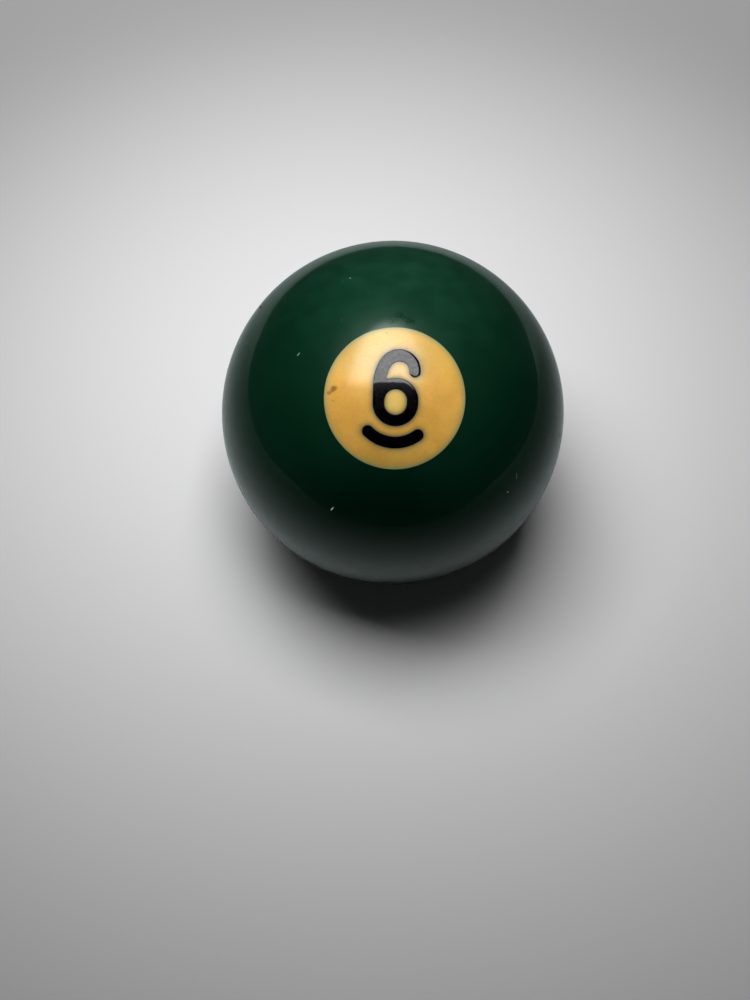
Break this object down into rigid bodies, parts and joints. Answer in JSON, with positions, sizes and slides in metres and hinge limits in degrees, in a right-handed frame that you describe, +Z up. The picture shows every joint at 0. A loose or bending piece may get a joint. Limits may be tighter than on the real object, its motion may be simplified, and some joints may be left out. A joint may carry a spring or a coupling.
{
  "type": "pool ball",
  "caption": "Glossy cast-resin pool ball with a pale inlaid number disc, black numeral and curved underline on opposite sides.",
  "frame": {"origin": "centre of the ball", "axes": "+Z up as the ball lies on a table; the front number faces up and towards -Y, 26.2 degrees off +Z, with +X to its reader's right; the back number is diametrically opposite"},
  "size_m": [0.0572, 0.0572, 0.0572],
  "materials": {
    "green_resin": "polished cast resin, deep bottle green",
    "ivory_resin": "polished cast resin, ivory turned amber with age",
    "black_resin": "polished cast resin, black"
  },
  "bodies": {
    "root": {"ball_body": "green_resin", "front_number_disc": "ivory_resin", "front_numeral_six": "black_resin", "front_counter_plug": "ivory_resin", "front_underline_bar": "black_resin", "back_number_disc": "ivory_resin", "back_numeral_six": "black_resin", "back_counter_plug": "ivory_resin", "back_underline_bar": "black_resin"}
  },
  "joints": []
}
